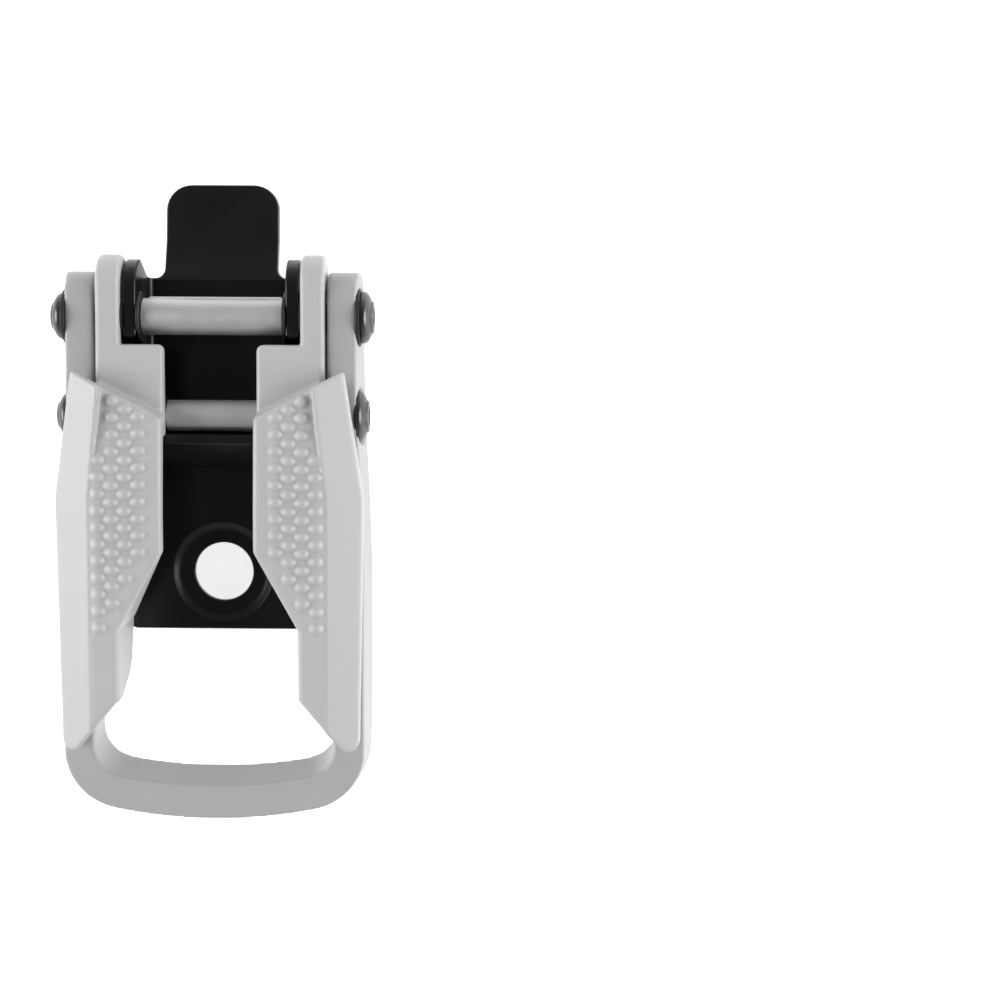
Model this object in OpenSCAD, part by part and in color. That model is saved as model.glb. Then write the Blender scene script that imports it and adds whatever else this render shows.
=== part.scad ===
// Ratchet buckle for a binding strap. A pressed steel channel guides the ladder strap.
// Two wings on a keyed axle turn a toothed drum that draws the ladder in, a sprung pawl
// holds it, and a loop lifts the pawl off to let it go.
// Origin: centre of the mounting hole, on the underside of the channel floor.
// +Y points to the end where the ladder strap enters, +X to the right and +Z up.

/* [Ladder way] */
// Clear width between the side walls, for the ladder strap
channel_w = 22.8; // [18:0.2:28]
// Clear height between the floor and the drum
ladder_gap = 4.6; // [3.8:0.1:5.6]

/* [Channel] */
// Thickness of the steel sheet
sheet_t = 2; // [1.6:0.1:2.4]
// Distance from the mounting hole forward to the drum axle
axle_y = 40.6; // [34:0.2:50]
// Distance from the drum axle back to the pawl axle
axle_gap = 15.2; // [14:0.1:18.4]
// Distance from the mounting hole back to the rear edge of the floor
floor_back = 9.2; // [7.6:0.1:13]
// Diameter of the mounting hole
hole_d = 9.3; // [4:0.1:11.4]
// Diameter of the dished seat around the mounting hole
dish_d = 16.4; // [13.4:0.1:18]
// Depth of the dished seat
dish_depth = 0.6; // [0.3:0.1:1]
// Length of the lead-in lip in front of the floor
lip_len = 14.7; // [12:0.1:18]
// Width of the lead-in lip
lip_w = 17.8; // [12:0.1:20]

/* [Axles] */
// Radius of the drum axle
drum_axle_r = 2; // [1.6:0.05:2.4]
// Radius of the pawl axle
pawl_axle_r = 1.8; // [1.5:0.05:2.2]
// Radius of the drum
drum_r = 2.8; // [2.7:0.05:3.3]
// Radius of the sleeve on the pawl axle
sleeve_r = 2.4; // [2.35:0.05:2.8]
// Radius of the axle heads on the right
head_r = 4; // [3.2:0.1:4.6]
// Radius of the caps that close the axles on the left
cap_r = 3.55; // [3:0.05:4.2]
// Height of the axle heads and caps
head_h = 1.8; // [1.2:0.1:2.4]

/* [Release loop] */
// Thickness of each arm of the release loop
arm_t = 4.4; // [3.4:0.1:5.4]
// Distance from the drum axle back to the rear edge of the loop
loop_reach = 78; // [74:0.5:94]
// Width of the top face of the bar across the back of the loop
bar_w = 5.2; // [4.2:0.1:6.4]
// Radius of the loop's outer corners
loop_corner_r = 9.4; // [7.6:0.1:11.4]

/* [Wings] */
// Thickness of the wings' ears
ear_t = 3.7; // [3:0.1:4.6]
// Gap between the two wings
wing_gap = 14.2; // [11.8:0.1:17.2]
// Distance from the drum axle back to the tips of the wings
wing_reach = 67; // [58:0.2:68]
// Thickness of the wings' top plates
plate_t = 2.4; // [1.8:0.1:2.8]

/* [Fits] */
// Radial running clearance of a journal
running = 0.03; // [0.02:0.01:0.08]
// Gap between neighbouring faces that move past each other
side_gap = 0.3; // [0.25:0.05:0.4]

/* [Hidden] */
$fn = 64;

eps = 0.01;
far = 100;

// Across the buckle, from the middle outwards
half_in = channel_w / 2;
half_out = half_in + sheet_t;
shim_t = 0.25;
shim_play = 0.05;
ear_in = half_out + shim_t + 2 * shim_play;
ear_out = ear_in + ear_t;
arm_in = ear_out + side_gap;
arm_out = arm_in + arm_t;
flange_t = 0.6;
head_play = 0.15;
drum_head_x = arm_out + flange_t + head_play;
blade_out = arm_out + 1.05;

// Heights and places of the two axles
axle_z = sheet_t + ladder_gap + drum_r;
pawl_y = axle_y - axle_gap;

// Channel
wall_over = 3.2;
wall_nose = 8.8;
wall_nose_r = 4.6;
floor_front = axle_y + 6;
bend_r = 1;
floor_corner_r = 2;
flat_side = 1.6;
flat_corner_r = 1.2;
flat_end = pawl_y - 18;
lip_corner_r = 4;
lip_slope_len = 0.4 * lip_len;
lip_slope_drop = 0.36 * lip_slope_len;
lip_end_drop = 0.1 * (lip_len - lip_slope_len);

// Bushes and washers
bush_r = drum_axle_r + 1;
bush_flange_r = bush_r + 0.8;
bush_flange_t = 0.5;
loop_flange_r = head_r + 0.3;

// Drum axle: two flats key the drum, the bushes and the wings to it
key_w = 2 * drum_axle_r * 0.8;
key_fit = 0.02;
drum_tail_r = key_w / 2;
drum_half = half_in - bush_flange_t - 0.1;
tooth_half = drum_half - 0.5;
tooth_h = 0.9;
tooth_count = 2;
tooth_first = 33;
tooth_pitch = 24;

// Pawl axle
pawl_tail_r = pawl_axle_r - 0.3;
sleeve_half = wing_gap / 2 + 0.1;
pawl_ear_t = 1.6;
pawl_ear_in = sleeve_half + 0.15;
pawl_ear_out = pawl_ear_in + pawl_ear_t;
pawl_hub_r = pawl_axle_r + 1.3;
pawl_play = 0.04;
pawl_len = 8.2;
tip_z = sheet_t + 0.3;
wire_r = 0.3;
coil_r = pawl_axle_r + wire_r + 0.25;
coil_turns = 2.5;
coil_start = pawl_ear_out + wire_r + 0.1;
coil_pitch = (half_in - 0.2 - wire_r - coil_start) / coil_turns;

// Release loop
arm_over = 3.5;
arm_under = 5;
loop_nose = 6.9;
loop_nose_r = 4.2;
bar_lift = 1.8;
loop_back = axle_y - loop_reach;
back_bow_r = 70;
loop_inner_r = 5;
bar_slope = 2.9;

// Wings
ear_over = 4.5;
ear_nose = 5;
shoulder_y = axle_y - 4.2;
shoulder_z = axle_z + 4.5;
ramp_front = pawl_y + 4.8;
ramp_back = pawl_y + 0.9;
ramp_z = axle_z + 5;
pad_z = axle_z + 7.6;
crown_y = axle_y - 28;
crown_z = axle_z + 8.6;
wing_back = axle_y - wing_reach;
notch_y = wing_back + 31.5;
web_y = notch_y - 12;
web_end_y = web_y - 10.8;
web_t = 2.5;
skirt_t = 2;
crease_x = ear_out + 0.5;
blade_t = 2.2;
blade_tilt = 23;
slot_clear = 0.3;

// Slanting rear edge of the wings
function slant(x) = web_end_y - (x - ear_in) * (web_end_y - wing_back + 2.2) / (blade_out - 0.4 - ear_in);

// Solid with an outline drawn in X and Y, from z0 up to z1
module upright(z0, z1) {
  translate([0, 0, z0]) linear_extrude(z1 - z0) children();
}

// Solid with an outline drawn in Y and Z, from x0 out to x1
module sideways(x0, x1) {
  translate([x0, 0, 0]) rotate([90, 0, 90]) linear_extrude(x1 - x0) children();
}

// Round bar along X at a place in Y and Z
module bar(x0, x1, r, y, z) {
  translate([x0, y, z]) rotate([0, 90, 0]) cylinder(r = r, h = x1 - x0);
}

// Bar along X on the drum axle's line, with two flats
module keyed_bar(x0, x1, grow = 0) {
  intersection() {
    bar(x0, x1, drum_axle_r + grow, axle_y, axle_z);
    translate([x0, axle_y - far / 2, axle_z - key_w / 2 - grow]) cube([x1 - x0, far, key_w + 2 * grow]);
  }
}

// Low dome with a ring groove around a dimple, standing on the plane x = 0 and facing +X
module rivet_dome(r) {
  edge = 0.5;
  rotate([0, 90, 0]) difference() {
    union() {
      cylinder(r = r, h = edge);
      translate([0, 0, edge - eps]) cylinder(r1 = r, r2 = r * 0.82, h = 0.6);
      cylinder(r = r * 0.82, h = head_h - 0.2);
      cylinder(r = r * 0.62, h = head_h);
    }
    translate([0, 0, head_h - 0.5]) cylinder(r1 = r * 0.25, r2 = r * 0.4, h = 0.6);
  }
}

// Path of the pawl axle around the drum axle: a ring sector from its rest place, upwards or downwards
module axle_sweep(x0, x1, upwards) {
  r = pawl_axle_r + slot_clear;
  bar(x0, x1, r, pawl_y, axle_z);
  intersection() {
    difference() {
      bar(x0, x1, axle_gap + r, axle_y, axle_z);
      bar(x0 - 1, x1 + 1, axle_gap - r, axle_y, axle_z);
    }
    translate([x0, axle_y - far, axle_z - (upwards ? 0 : far)]) cube([x1 - x0, far, far]);
  }
}

// ---- Channel ----

// Cross section of the channel: a floor and two walls with rounded bends
module channel_section() {
  difference() {
    union() {
      translate([-half_out, sheet_t + bend_r]) square([2 * half_out, far / 2]);
      translate([-half_out + sheet_t + bend_r, 0]) square([2 * (half_in - bend_r), far / 2]);
      for (s = [-1, 1]) translate([s * (half_in - bend_r), sheet_t + bend_r]) circle(sheet_t + bend_r);
    }
    translate([-half_in, sheet_t + bend_r]) square([2 * half_in, far]);
    translate([-half_in + bend_r, sheet_t]) square([2 * (half_in - bend_r), far]);
    for (s = [-1, 1]) translate([s * (half_in - bend_r), sheet_t + bend_r]) circle(bend_r);
  }
}

// Side view of a wall: high around the drum axle, low under the wings, high again behind the pawl axle
module wall_outline() {
  nose = axle_y + wall_nose;
  top = axle_z + wall_over;
  low = axle_z + 1.6;
  difference() {
    polygon([
      [-floor_back, 0], [-floor_back, sheet_t], [pawl_y - 17, sheet_t], [pawl_y - 10, axle_z - 1],
      [pawl_y - 5, axle_z + 2.6], [pawl_y + 2.8, axle_z + 2.6], [pawl_y + 4, low],
      [axle_y - 4, low], [axle_y - 2.9, top], [nose, top], [nose, top - wall_nose_r],
      [floor_front, sheet_t], [floor_front, 0]
    ]);
    difference() {
      translate([nose - wall_nose_r, top - wall_nose_r]) square(wall_nose_r + 1);
      translate([nose - wall_nose_r, top - wall_nose_r]) circle(wall_nose_r);
    }
  }
}

// Plan of the channel: rounded rear corners
module floor_plan() {
  r = floor_corner_r;
  translate([-half_out, r - floor_back]) square([2 * half_out, far]);
  translate([r - half_out, -floor_back]) square([2 * (half_out - r), far]);
  for (s = [-1, 1]) translate([s * (half_out - r), r - floor_back]) circle(r);
}

// Plan of the flat floor behind the folds, a little wider than the walls stand
module flat_plan() {
  r = flat_corner_r;
  half = half_out + flat_side;
  translate([-half, r - floor_back]) square([2 * half, flat_end + floor_back - r]);
  translate([r - half, -floor_back]) square([2 * (half - r), floor_back]);
  for (s = [-1, 1]) translate([s * (half - r), r - floor_back]) circle(r);
}

// Plan of the lip: rounded front corners
module lip_plan() {
  r = lip_corner_r;
  front = floor_front + lip_len;
  translate([-lip_w / 2, floor_front - 3]) square([lip_w, lip_len + 3 - r]);
  translate([r - lip_w / 2, floor_front - 3]) square([lip_w - 2 * r, lip_len + 3]);
  for (s = [-1, 1]) translate([s * (lip_w / 2 - r), front - r]) circle(r);
}

// Side view of the lip: bent down from the floor, then nearly level
module lip_outline() {
  knee = floor_front + lip_slope_len;
  tip = floor_front + lip_len;
  drop = lip_slope_drop + lip_end_drop;
  polygon([
    [floor_front - 3, 0], [floor_front, 0], [knee, -lip_slope_drop], [tip, -drop],
    [tip, sheet_t - drop], [knee, sheet_t - lip_slope_drop], [floor_front, sheet_t],
    [floor_front - 3, sheet_t]
  ]);
}

module base_channel() color("#1b1b1d") difference() {
  union() {
    intersection() {
      translate([0, -far / 2, 0]) mirror([0, 1, 0])
        rotate([90, 0, 0]) linear_extrude(2 * far) channel_section();
      sideways(-half_out, half_out) wall_outline();
      upright(-1, far) floor_plan();
    }
    upright(0, sheet_t) flat_plan();
    intersection() {
      sideways(-lip_w / 2, lip_w / 2) lip_outline();
      upright(-far / 2, far) lip_plan();
    }
  }
  translate([0, 0, -1]) cylinder(d = hole_d, h = sheet_t + 2);
  translate([0, 0, sheet_t - dish_depth]) cylinder(d1 = dish_d - 3, d2 = dish_d, h = dish_depth + eps);
  bar(-far, far, bush_r + running, axle_y, axle_z);
  for (s = [-1, 1]) axle_sweep(s > 0 ? half_in - 1 : -half_out - 1, s > 0 ? half_out + 1 : 1 - half_in, true);
}

// Flanged bush that turns in the channel wall with the drum axle
module axle_bush() {
  difference() {
    union() {
      bar(half_in - bush_flange_t, half_out, bush_r, axle_y, axle_z);
      bar(half_in - bush_flange_t, half_in - shim_play, bush_flange_r, axle_y, axle_z);
    }
    keyed_bar(half_in - 1, half_out + 1, key_fit);
  }
}

module axle_bush_right() color("#161616") axle_bush();

module axle_bush_left() color("#161616") mirror([1, 0, 0]) axle_bush();

// Thin washer between the channel wall and the wing's ear
module shim_washer() {
  x0 = half_out + shim_play;
  difference() {
    bar(x0, x0 + shim_t, bush_flange_r, axle_y, axle_z);
    bar(x0 - 1, x0 + 1, drum_axle_r + key_fit, axle_y, axle_z);
  }
}

module shim_washer_right() color("#202020") shim_washer();

module shim_washer_left() color("#202020") mirror([1, 0, 0]) shim_washer();

// ---- Release loop and what it carries ----

// Plan of a space open to the front, whose bowed back edge runs smoothly into its round corners
module bowed_plan(half, back, r) {
  lift = back_bow_r - sqrt(pow(back_bow_r - r, 2) - pow(half - r, 2));
  bow_half = (half - r) * back_bow_r / (back_bow_r - r);
  translate([-half, back + lift]) square([2 * half, far]);
  for (s = [-1, 1]) translate([s * (half - r), back + lift]) circle(r);
  intersection() {
    translate([-bow_half, back]) square([2 * bow_half, far]);
    translate([0, back + back_bow_r]) circle(back_bow_r, $fn = 128);
  }
}

// Window of the loop: the bar's inner face slopes back towards the top
module loop_window() {
  low = axle_z - arm_under;
  top = axle_z + arm_over;
  back = loop_back + bar_w;
  hull() {
    translate([0, 0, low - 1]) linear_extrude(1)
      intersection() {
        bowed_plan(arm_in, back + bar_slope, loop_inner_r, $fn = 32);
        translate([-far, back]) square([2 * far, axle_y - back]);
      }
    translate([0, 0, top]) linear_extrude(1)
      intersection() {
        bowed_plan(arm_in, back, loop_inner_r, $fn = 32);
        translate([-far, back]) square([2 * far, axle_y - back]);
      }
  }
  translate([-arm_in, axle_y - 1, low - 1]) cube([2 * arm_in, far, top - low + 2]);
}

// Side view of the loop: level arms with a rounded nose, and a bar lifted for a finger
module loop_outline() {
  nose = axle_y + loop_nose;
  low = axle_z - arm_under;
  top = axle_z + arm_over;
  difference() {
    polygon([
      [loop_back - 1, low + bar_lift], [loop_back + bar_w + 3, low + bar_lift],
      [loop_back + bar_w + 9, low], [nose, low], [nose, top], [loop_back - 1, top]
    ]);
    for (z = [low + loop_nose_r, top - loop_nose_r]) difference() {
      translate([nose - loop_nose_r, z == top - loop_nose_r ? z : low - 1]) square(loop_nose_r + 1);
      translate([nose - loop_nose_r, z]) circle(loop_nose_r);
    }
  }
}

module release_loop() color("#b4b4b2") difference() {
  intersection() {
    upright(-far, far) bowed_plan(arm_out, loop_back, loop_corner_r);
    sideways(-far, far) loop_outline();
  }
  loop_window();
  bar(-far, far, bush_r, axle_y, axle_z);
  bar(-arm_out - 1, -arm_in + 1, pawl_tail_r, pawl_y, axle_z);
  bar(arm_in - 1, arm_out + 1, pawl_axle_r, pawl_y, axle_z);
}

// Flanged bush pressed in the loop's arm, with its flange under the axle head
module loop_bush(bore_r) {
  difference() {
    union() {
      bar(arm_in, arm_out + eps, bush_r, axle_y, axle_z);
      bar(arm_out, arm_out + flange_t, loop_flange_r, axle_y, axle_z);
    }
    bar(arm_in - 1, arm_out + 2, bore_r + running, axle_y, axle_z);
  }
}

module loop_bush_right() color("#141414") loop_bush(drum_axle_r);

module loop_bush_left() color("#141414") mirror([1, 0, 0]) loop_bush(drum_tail_r);

module pawl_axle() color("#7d7a76") {
  bar(-arm_in, arm_out, pawl_axle_r, pawl_y, axle_z);
  bar(-arm_out - head_h / 2, eps - arm_in, pawl_tail_r, pawl_y, axle_z);
  translate([arm_out, pawl_y, axle_z]) rivet_dome(head_r);
}

module pawl_axle_cap() color("#7d7a76") difference() {
  translate([-arm_out, pawl_y, axle_z]) mirror([1, 0, 0]) rivet_dome(cap_r);
  bar(-arm_out - head_h / 2, 1 - arm_out, pawl_tail_r, pawl_y, axle_z);
}

module pawl_sleeve() color("#a2a19d") difference() {
  bar(-sleeve_half, sleeve_half, sleeve_r, pawl_y, axle_z);
  bar(-sleeve_half - 1, sleeve_half + 1, pawl_axle_r + running, pawl_y, axle_z);
}

// Side view of the pawl's plate, from behind the sleeve down to its tip
module pawl_blade_outline() {
  root = sleeve_r + 0.3;
  polygon([
    [pawl_y - root, axle_z + 1.9], [pawl_y - root, axle_z - 0.4],
    [pawl_y - pawl_len + 0.6, tip_z], [pawl_y - pawl_len, tip_z],
    [pawl_y - pawl_len - 0.2, tip_z + 1.2], [pawl_y - root - 1.5, axle_z + 2.3]
  ]);
}

module holding_pawl() color("#1d1d1f") difference() {
  union() {
    sideways(-pawl_ear_out, pawl_ear_out) pawl_blade_outline();
    for (x = [-pawl_ear_out, pawl_ear_in]) {
      bar(x, x + pawl_ear_t, pawl_hub_r, pawl_y, axle_z);
      translate([x, pawl_y - sleeve_r - 1, axle_z - 1.2]) cube([pawl_ear_t, sleeve_r + 1, 3]);
    }
  }
  bar(-far, far, pawl_axle_r + pawl_play, pawl_y, axle_z);
}

// Tube swept along a list of points in the plane across the given sideways directions
function ring(p, u, v, r, n) = [for (i = [0 : n - 1]) p + r * (cos(360 * i / n) * u + sin(360 * i / n) * v)];
function unit(v) = v / norm(v);
function along(pts, i) = unit(pts[min(i + 1, len(pts) - 1)] - pts[max(i - 1, 0)]);

module wire(pts, r, n = 8) {
  m = len(pts);
  rings = [for (i = [0 : m - 1])
    let (t = along(pts, i), u = unit([1, 0, 0] - t * t.x), v = cross(t, u)) ring(pts[i], u, v, r, n)];
  polyhedron(
    points = [for (k = rings) each k],
    faces = concat(
      [[for (j = [n - 1 : -1 : 0]) j]],
      [for (i = [0 : m - 2], j = [0 : n - 1])
        [i * n + j, i * n + (j + 1) % n, (i + 1) * n + (j + 1) % n, (i + 1) * n + j]],
      [[for (j = [0 : n - 1]) (m - 1) * n + j]]
    )
  );
}

// Torsion spring: a coil around the pawl axle, a leg on the pawl's plate and a tail up beside the sleeve
module pawl_spring() {
  steps = 16;
  turn0 = 180;
  coil = [for (i = [0 : coil_turns * steps])
    let (a = turn0 - 360 * i / steps)
      [coil_start + coil_pitch * i / steps, pawl_y + coil_r * cos(a), axle_z + coil_r * sin(a)]];
  leg = [
    [coil_start - 0.1, pawl_y - coil_r - 3.6, axle_z - 0.3],
    [coil_start - 0.05, pawl_y - coil_r - 1.2, axle_z - 0.9]
  ];
  tail = [[coil[len(coil) - 1].x, pawl_y + coil_r + 0.1, axle_z + 1.6]];
  wire(concat(leg, coil, tail), wire_r);
}

module pawl_spring_right() color("#8b8b8b") pawl_spring();

module pawl_spring_left() color("#8b8b8b") mirror([1, 0, 0]) pawl_spring();

// ---- Wings and what turns with them ----

// Side view of the ear and the web behind it
module web_outline() {
  low = axle_z - ear_over;
  translate([axle_y + ear_nose, axle_z]) circle(ear_over);
  polygon([
    [axle_y + ear_nose, low], [axle_y + ear_nose, axle_z + ear_over], [shoulder_y, shoulder_z],
    [ramp_front, ramp_z - 0.6], [ramp_back, pad_z - 0.6], [crown_y, crown_z - 0.6],
    [web_end_y, crown_z - 0.6], [web_end_y - 3, crown_z - plate_t], [web_end_y + 2, low + 3],
    [web_end_y + 6, low]
  ]);
}

// Side view of the top plate: shoulder, ramp and raised pad
module plate_outline() {
  tops = [[shoulder_y, shoulder_z], [ramp_front, ramp_z], [ramp_back, pad_z], [crown_y, crown_z],
    [wing_back - 1, crown_z]];
  polygon(concat(tops, [for (i = [len(tops) - 1 : -1 : 0]) tops[i] - [0, plate_t]]));
}

// Plan of the right wing's top plate
module plate_plan() {
  polygon([
    [wing_gap / 2, shoulder_y], [ear_out, shoulder_y], [ear_out, pawl_y - 1],
    [crease_x + 0.4, crown_y], [crease_x + 0.2, web_y],
    [crease_x + 0.3, slant(crease_x + 0.3)], [ear_in - 0.1, web_end_y],
    [ear_in - 0.1, web_y], [wing_gap / 2 - 0.2, notch_y], [wing_gap / 2 - 0.2, ramp_back],
    [wing_gap / 2, ramp_back]
  ]);
}

// Plan of the skirt that hangs from the plate's slanting inner edge down beside the web
module skirt_plan() {
  polygon([
    [wing_gap / 2 - 0.2, notch_y], [ear_in, web_y], [ear_in + skirt_t, web_y], [ear_in + skirt_t, web_y + 1],
    [wing_gap / 2 - 0.2 + skirt_t, notch_y]
  ]);
}

// Side view of the skirt, which grows deeper from the front to the web
module skirt_outline() {
  low = axle_z - ear_over + 1;
  top = crown_z - plate_t / 2;
  polygon([[web_y - 1, low], [web_y + 1, low], [notch_y + 0.5, top], [web_y - 1, top]]);
}

// Plan of the right wing's blade
module blade_plan() {
  polygon([
    [ear_out - 1.5, ramp_front], [blade_out - 2.6, ramp_front + 2.4], [blade_out - 1.7, pawl_y + 1],
    [blade_out, crown_y + 0.5], [blade_out - 0.6, web_y], [blade_out - 0.6, wing_back + 1.6],
    [blade_out - 1.1, wing_back + 0.5], [blade_out - 2, wing_back], [blade_out - 2.8, wing_back + 0.4],
    [crease_x + 0.1, slant(crease_x + 0.1)],
    [crease_x - 0.1, web_y], [crease_x + 0.1, crown_y + 0.5]
  ]);
}

// Flat slab that leans down and outwards from the crease
module blade_slab() {
  translate([crease_x, -far, crown_z]) rotate([0, blade_tilt, 0])
    translate([-far / 10, 0, -blade_t]) cube([far / 5, 2 * far, blade_t]);
}

module wing() difference() {
  union() {
    intersection() {
      sideways(ear_in, ear_out) web_outline();
      union() {
        translate([0, pawl_y - 5, -far / 2]) cube([far, far, far]);
        translate([0, -far, -far / 2]) cube([ear_in + web_t, far + pawl_y, far]);
      }
    }
    intersection() {
      sideways(0, far) plate_outline();
      upright(0, far) plate_plan();
    }
    intersection() {
      sideways(0, far) skirt_outline();
      upright(0, far) skirt_plan();
    }
    intersection() {
      blade_slab();
      upright(0, far) blade_plan();
    }
  }
  keyed_bar(ear_in - 1, ear_out + 1, key_fit);
  axle_sweep(ear_in - 1, ear_out + 1, false);
}

module right_wing() color("#bebebc") wing();

module left_wing() color("#bebebc") mirror([1, 0, 0]) wing();

module drum_axle() color("#6f6c68") {
  keyed_bar(-ear_out, ear_out + eps);
  bar(ear_out, drum_head_x, drum_axle_r, axle_y, axle_z);
  bar(-drum_head_x - head_h / 2, eps - ear_out, drum_tail_r, axle_y, axle_z);
  translate([drum_head_x, axle_y, axle_z]) rivet_dome(head_r);
}

module drum_axle_cap() color("#6f6c68") difference() {
  translate([-drum_head_x, axle_y, axle_z]) mirror([1, 0, 0]) rivet_dome(cap_r);
  bar(-drum_head_x - head_h / 2, 1 - drum_head_x, drum_tail_r, axle_y, axle_z);
}

// Drum with a sector of saw teeth, which lie in front at rest and come down as the wings lift
module drive_drum() color("#a8a7a3") difference() {
  union() {
    bar(-drum_half, drum_half, drum_r, axle_y, axle_z);
    for (i = [0 : tooth_count - 1]) translate([0, axle_y, axle_z])
      rotate([tooth_first + i * tooth_pitch, 0, 0]) sideways(-tooth_half, tooth_half)
        polygon([[-0.5, 0.8 - drum_r], [-0.3, -drum_r - tooth_h], [0, -drum_r - tooth_h],
          [0.6, 0.8 - drum_r]]);
  }
  keyed_bar(-drum_half - 1, drum_half + 1, key_fit);
}

base_channel();
axle_bush_left();
axle_bush_right();
shim_washer_left();
shim_washer_right();
release_loop();
loop_bush_left();
loop_bush_right();
pawl_axle();
pawl_axle_cap();
pawl_sleeve();
holding_pawl();
pawl_spring_left();
pawl_spring_right();
left_wing();
right_wing();
drum_axle();
drum_axle_cap();
drive_drum();
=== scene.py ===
# Ratchet buckle for a binding strap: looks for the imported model.
# The shapes are worked in millimetres and brought to metres as each piece is finished.
# +Y points to the end where the ladder strap enters, +X to the right and +Z up.
import math

import bmesh
import bpy
from mathutils import Matrix, Vector


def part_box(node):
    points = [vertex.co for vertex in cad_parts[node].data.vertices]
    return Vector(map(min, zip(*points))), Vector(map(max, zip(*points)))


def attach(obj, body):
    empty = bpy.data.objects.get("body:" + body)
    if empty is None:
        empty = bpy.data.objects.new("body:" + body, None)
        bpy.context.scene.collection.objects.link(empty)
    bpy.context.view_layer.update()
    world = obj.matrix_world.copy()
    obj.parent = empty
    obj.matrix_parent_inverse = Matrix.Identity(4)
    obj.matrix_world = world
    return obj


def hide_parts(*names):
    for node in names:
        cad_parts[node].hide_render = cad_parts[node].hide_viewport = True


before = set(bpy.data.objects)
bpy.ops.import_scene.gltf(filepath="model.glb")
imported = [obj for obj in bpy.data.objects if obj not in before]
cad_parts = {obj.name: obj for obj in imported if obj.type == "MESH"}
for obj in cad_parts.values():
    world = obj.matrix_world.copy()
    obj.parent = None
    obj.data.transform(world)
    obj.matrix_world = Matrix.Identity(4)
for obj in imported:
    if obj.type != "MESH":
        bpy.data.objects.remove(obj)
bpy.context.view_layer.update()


# ---- Studio ----
# A pale board just under the lead-in lip, a surround that is bright at the horizon and dark
# overhead, a softbox on each side, and a long lens almost straight above, a little to the right.

MM = 0.001
FLOOR_Z = -3.05
CAMERA_AT = (47.5, 42.09, 304.25)
CAMERA_TURN = (-5.715, 0.672, 0.3)
CAMERA_LENS = 68.83
HORIZON = 0.95
ZENITH = 0.12
SOFTBOXES = [
    ("softbox_left", (-720, 40, 400), 560, 7.2),
    ("softbox_right", (720, 40, 400), 560, 6.4),
]


def linear(code):
    """Scene colour for an sRGB hex colour."""
    parts = [int(code[i:i + 2], 16) / 255 for i in (1, 3, 5)]
    return [p / 12.92 if p <= 0.04045 else ((p + 0.055) / 1.055) ** 2.4 for p in parts] + [1]


def add(tree, kind, settings=None, links=None):
    """Adds a node, with its settings and the outputs that feed it."""
    node = tree.nodes.new(kind)
    for key, value in (settings or {}).items():
        if isinstance(key, int) or key in node.inputs:
            node.inputs[key].default_value = value
        else:
            setattr(node, key, value)
    for key, source in (links or {}).items():
        tree.links.new(source, node.inputs[key])
    return node


def new_material(name):
    """Empty material and its node tree, with the place on the object as the pattern's coordinates."""
    material = bpy.data.materials.new(name)
    material.use_nodes = True
    tree = material.node_tree
    tree.nodes.clear()
    place = add(tree, "ShaderNodeTexCoord").outputs["Object"]
    return material, tree, place


scene = bpy.context.scene
scene.view_settings.view_transform = "Standard"

scene.world = bpy.data.worlds.new("surround")
scene.world.use_nodes = True
tree = scene.world.node_tree
sky = add(tree, "ShaderNodeTexCoord").outputs["Generated"]
height = add(tree, "ShaderNodeSeparateXYZ", links={"Vector": sky}).outputs["Z"]
glow = add(tree, "ShaderNodeMapRange", {"To Min": HORIZON, "To Max": ZENITH}, {"Value": height})
tree.links.new(glow.outputs["Result"], tree.nodes["Background"].inputs["Strength"])
tree.nodes["Background"].inputs["Color"].default_value = linear("#fcfcff")

for name, place_mm, size_mm, power in SOFTBOXES:
    light = bpy.data.lights.new(name, "AREA")
    light.size = size_mm * MM
    light.energy = power
    softbox = bpy.data.objects.new(name, light)
    softbox.location = Vector(place_mm) * MM
    softbox.rotation_euler = (-softbox.location).to_track_quat("-Z", "Y").to_euler()
    scene.collection.objects.link(softbox)

camera_data = bpy.data.cameras.new("camera")
camera_data.lens = CAMERA_LENS
camera = bpy.data.objects.new("camera", camera_data)
camera.location = Vector(CAMERA_AT) * MM
camera.rotation_euler = [math.radians(a) for a in CAMERA_TURN]
scene.collection.objects.link(camera)
scene.camera = camera

# Opal white board lit from behind: even and matt, with a very faint mottle.
white_board, tree, place = new_material("opal_white_board")
mottle = add(tree, "ShaderNodeTexNoise", {"Scale": 1 / (40 * MM), "Detail": 2}, {"Vector": place})
tone = add(tree, "ShaderNodeMix", {"data_type": "RGBA", 6: linear("#f6f6f6"), 7: linear("#fafafa")},
           {0: mottle.outputs["Fac"]})
board = add(tree, "ShaderNodeBsdfPrincipled",
            {"Roughness": 0.9, "Emission Color": linear("#ffffff"), "Emission Strength": 0.7},
            {"Base Color": tone.outputs[2]})
add(tree, "ShaderNodeOutputMaterial", links={"Surface": board.outputs["BSDF"]})

bm = bmesh.new()
bmesh.ops.create_grid(bm, x_segments=1, y_segments=1, size=3)
bmesh.ops.translate(bm, verts=bm.verts, vec=(0, 0, FLOOR_Z * MM))
floor_mesh = bpy.data.meshes.new("floor")
bm.to_mesh(floor_mesh)
bm.free()
floor_mesh.materials.append(white_board)
floor = bpy.data.objects.new("floor", floor_mesh)
scene.collection.objects.link(floor)


# ---- Base channel ----
# Two millimetre steel, blanked and folded into a floor and two walls, with a lead-in lip bent
# down at the front and a seat pressed round the screw hole. Powder coated gloss black.

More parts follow.
